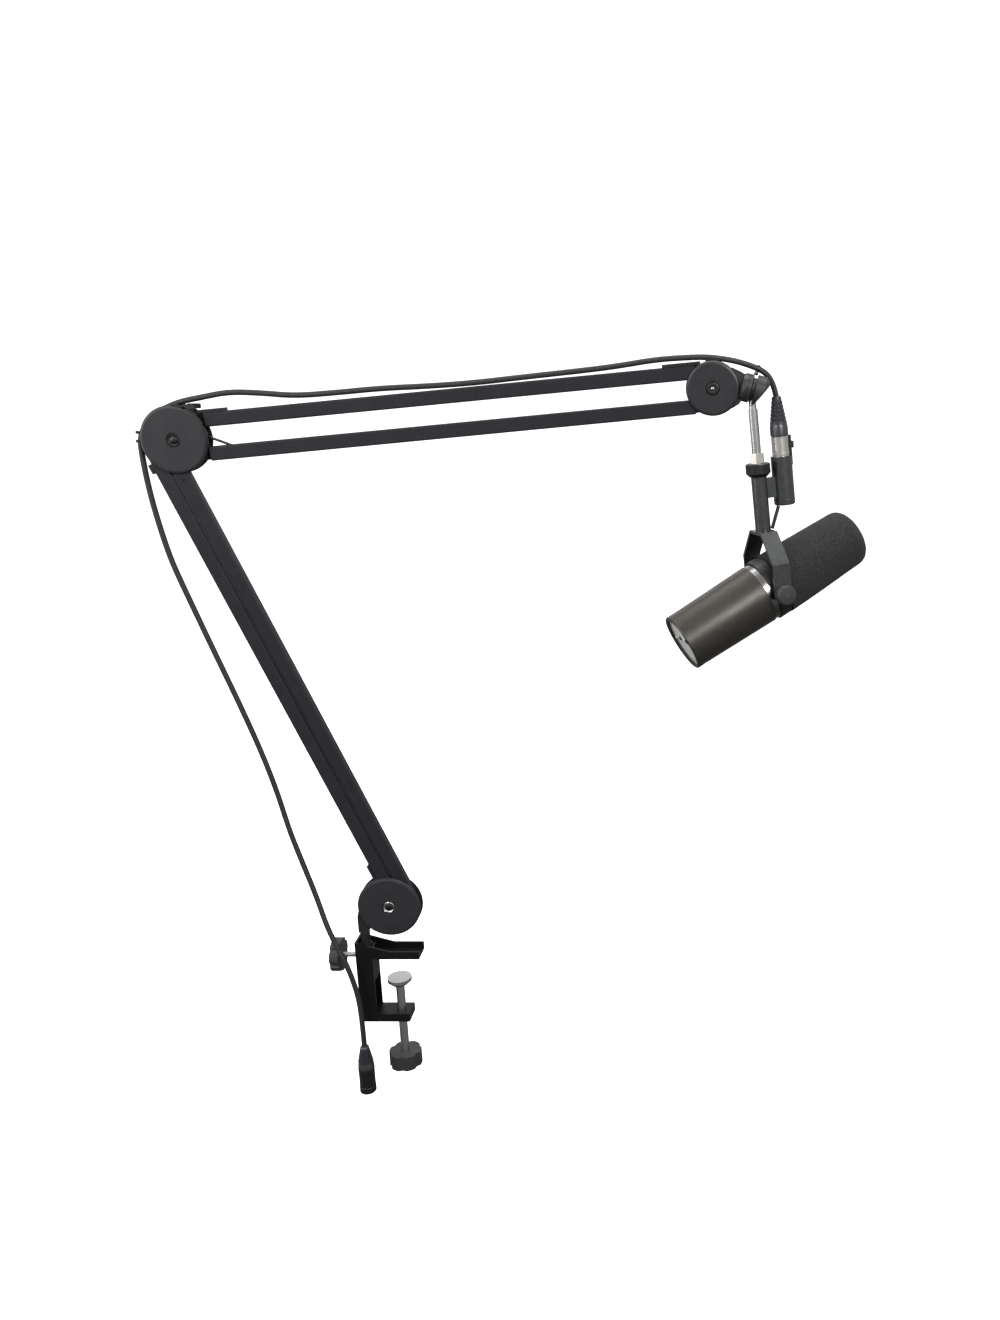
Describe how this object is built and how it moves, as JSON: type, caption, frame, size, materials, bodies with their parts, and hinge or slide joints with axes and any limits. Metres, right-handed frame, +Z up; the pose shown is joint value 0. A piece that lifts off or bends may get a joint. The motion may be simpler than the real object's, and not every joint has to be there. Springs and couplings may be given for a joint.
{
  "type": "yoke-mount broadcast microphone on a desk-clamped boom arm",
  "caption": "End-address broadcast microphone in a yoke mount, hung from a clamp-on boom arm of two parallel-bar linkages, with its lead.",
  "frame": {"origin": "on the underside of the clamp's upper jaw, where it meets the desk top, 3 mm inside the axis of the lower disc joint", "axes": "+X along the jaw, over the desk; +Z up; +Y away from the front view; the arm lies in the XZ plane"},
  "size_m": [0.7626, 0.1311, 0.847],
  "materials": {
    "arm_black": "satin powder coat",
    "disc_black": "satin moulded plastic",
    "clamp_black": "satin powder coat",
    "chrome": "polished",
    "steel": "turned",
    "spring_steel": "drawn wire",
    "knob_black": "matte moulded plastic",
    "swivel_black": "satin moulded plastic",
    "mic_grey": "fine metallic lacquer",
    "yoke_grey": "satin lacquer",
    "core_black": "matte",
    "rear_grey": "fine satin",
    "silver": "satin",
    "nickel": "satin nickel plate",
    "boot_rubber": "smooth rubber",
    "cable_rubber": "matte rubber sheath",
    "foam": "open-cell foam",
    "grille": "woven mesh"
  },
  "bodies": {
    "root": {"clamp_frame": "clamp_black", "cable_tail": "cable_rubber", "free_plug": "nickel"},
    "pad": {"pressure_pad": "steel"},
    "screw": {"clamp_screw": "steel", "clamp_handle": "knob_black"},
    "lock": {"lock_screw": "chrome", "lock_knob": "knob_black"},
    "base": {"base_post": "arm_black", "base_plates": "disc_black", "base_fasteners": "chrome", "cable_base": "cable_rubber"},
    "lower_main": {"lower_main_tube": "arm_black", "lower_main_ends": "arm_black", "cable_lower": "cable_rubber", "cable_shoulder": "cable_rubber"},
    "lower_second": {"lower_second_tube": "arm_black", "lower_second_ends": "arm_black", "lower_spring": "spring_steel"},
    "elbow": {"elbow_plates": "disc_black", "elbow_fasteners": "steel", "cable_elbow_rim": "cable_rubber"},
    "upper_main": {"upper_main_tube": "arm_black", "upper_main_ends": "arm_black", "cable_upper": "cable_rubber", "cable_over_elbow": "cable_rubber"},
    "upper_second": {"upper_second_tube": "arm_black", "upper_second_ends": "arm_black", "upper_spring": "spring_steel"},
    "head": {"head_plates": "disc_black", "head_nose": "swivel_black", "head_fasteners": "steel", "cable_head": "cable_rubber"},
    "swivel": {"swivel_collar": "swivel_black", "swivel_head": "swivel_black", "swivel_rod": "chrome", "rod_nut": "nickel", "cable_swivel": "cable_rubber"},
    "swivel_screw": {"swivel_screw": "steel"},
    "mount": {"mount_tube": "yoke_grey", "mount_nut": "core_black", "yoke": "yoke_grey", "xlr_barrel": "yoke_grey", "plug_shell": "nickel", "plug_boot": "boot_rubber", "mic_lead": "cable_rubber", "cable_mount": "cable_rubber"},
    "latch": {"latch_tab": "core_black"},
    "knob_near": {"knob_near": "knob_black"},
    "knob_far": {"knob_far": "knob_black"},
    "mic": {"rear_rim": "mic_grey", "rear_plate": "rear_grey", "tube_shell": "mic_grey", "silver_collar": "silver", "core_ring": "core_black", "foam_windscreen": "foam", "grille_cage": "grille", "capsule": "core_black"},
    "switch_1": {"switch_1": "core_black"},
    "switch_2": {"switch_2": "core_black"}
  },
  "joints": [
    {"name": "clamp_travel", "type": "slide", "parent": "root", "child": "pad", "axis": [0, 0, 1], "range_m": [-0.032, 0.018]},
    {"name": "clamp_turn", "type": "hinge", "parent": "pad", "child": "screw", "pos_m": [0, 0, -0.11], "axis": [0, 0, 1], "range_deg": [-5780, 3260]},
    {"name": "lock_turn", "type": "hinge", "parent": "root", "child": "lock", "pos_m": [-0.0605, 0, -0.0003], "axis": [1, 0, 0], "range_deg": [-360, 90]},
    {"name": "base_swivel", "type": "hinge", "parent": "root", "child": "base", "pos_m": [-0.0357, 0, 0], "axis": [0, 0, 1], "range_deg": [-90, 90], "deforming": ["cable_base"]},
    {"name": "shoulder", "type": "hinge", "parent": "base", "child": "lower_main", "pos_m": [0.01258, 0, 0.04807], "axis": [0, -1, 0], "range_deg": [-2, 21], "deforming": ["cable_shoulder"]},
    {"name": "lower_follow", "type": "hinge", "parent": "base", "child": "lower_second", "pos_m": [0.02228, 0, 0.06947], "axis": [0, -1, 0], "range_deg": [-2.1, 21.1]},
    {"name": "elbow_level", "type": "hinge", "parent": "lower_main", "child": "elbow", "pos_m": [-0.20789, 0, 0.57557], "axis": [0, -1, 0], "range_deg": [-21.1, 2.1], "deforming": ["cable_elbow_rim"]},
    {"name": "elbow", "type": "hinge", "parent": "elbow", "child": "upper_main", "pos_m": [-0.161, 0, 0.61467], "axis": [0, -1, 0], "range_deg": [-15, 45], "deforming": ["cable_over_elbow"]},
    {"name": "upper_follow", "type": "hinge", "parent": "elbow", "child": "upper_second", "pos_m": [-0.161, 0, 0.57987], "axis": [0, -1, 0], "range_deg": [-15.1, 45.1], "deforming": ["upper_spring"]},
    {"name": "head_level", "type": "hinge", "parent": "upper_main", "child": "head", "pos_m": [0.3615, 0, 0.664], "axis": [0, -1, 0], "range_deg": [-45.1, 15.1], "deforming": ["cable_head"]},
    {"name": "head_swivel", "type": "hinge", "parent": "head", "child": "swivel", "pos_m": [0.4098, 0, 0.6465], "axis": [0.9659, 0, -0.2588], "range_deg": [-45, 45], "deforming": ["cable_swivel"]},
    {"name": "swivel_screw_turn", "type": "hinge", "parent": "head", "child": "swivel_screw", "pos_m": [0.4098, 0, 0.6465], "axis": [0.9659, 0, -0.2588], "range_deg": [-180, 180]},
    {"name": "mount_turn", "type": "hinge", "parent": "swivel", "child": "mount", "pos_m": [0.42949, 0, 0.43823], "axis": [-0.0941, 0, 0.9956], "range_deg": [-90, 90], "deforming": ["cable_mount"]},
    {"name": "mic_tilt", "type": "hinge", "parent": "mount", "child": "mic", "pos_m": [0.42949, 0, 0.43823], "axis": [0.3649, -0.9304, 0.0345], "range_deg": [-62, 16]},
    {"name": "knob_near_turn", "type": "hinge", "parent": "mount", "child": "knob_near", "pos_m": [0.42949, 0, 0.43823], "axis": [0.3649, -0.9304, 0.0345], "range_deg": [-180, 180]},
    {"name": "knob_far_turn", "type": "hinge", "parent": "mount", "child": "knob_far", "pos_m": [0.42949, 0, 0.43823], "axis": [-0.3649, 0.9304, -0.0345], "range_deg": [-180, 180]},
    {"name": "latch_press", "type": "slide", "parent": "mount", "child": "latch", "axis": [-0.9263, -0.3665, -0.0876], "range_m": [0, 0.0008], "stiffness_N_per_m": 900, "springref_m": -0.001},
    {"name": "switch_1_slide", "type": "slide", "parent": "mic", "child": "switch_1", "axis": [0.44, 0.1397, -0.8871], "range_m": [0, 0.0045]},
    {"name": "switch_2_slide", "type": "slide", "parent": "mic", "child": "switch_2", "axis": [0.44, 0.1397, -0.8871], "range_m": [0, 0.0045]}
  ],
  "couplings": [
    {"joint": "clamp_turn", "follows": "clamp_travel", "rad_per_m": 3141.6},
    {"joint": "lower_follow", "follows": "shoulder", "ratio": 1},
    {"joint": "elbow_level", "follows": "shoulder", "ratio": -1},
    {"joint": "upper_follow", "follows": "elbow", "ratio": 1},
    {"joint": "head_level", "follows": "elbow", "ratio": -1}
  ]
}
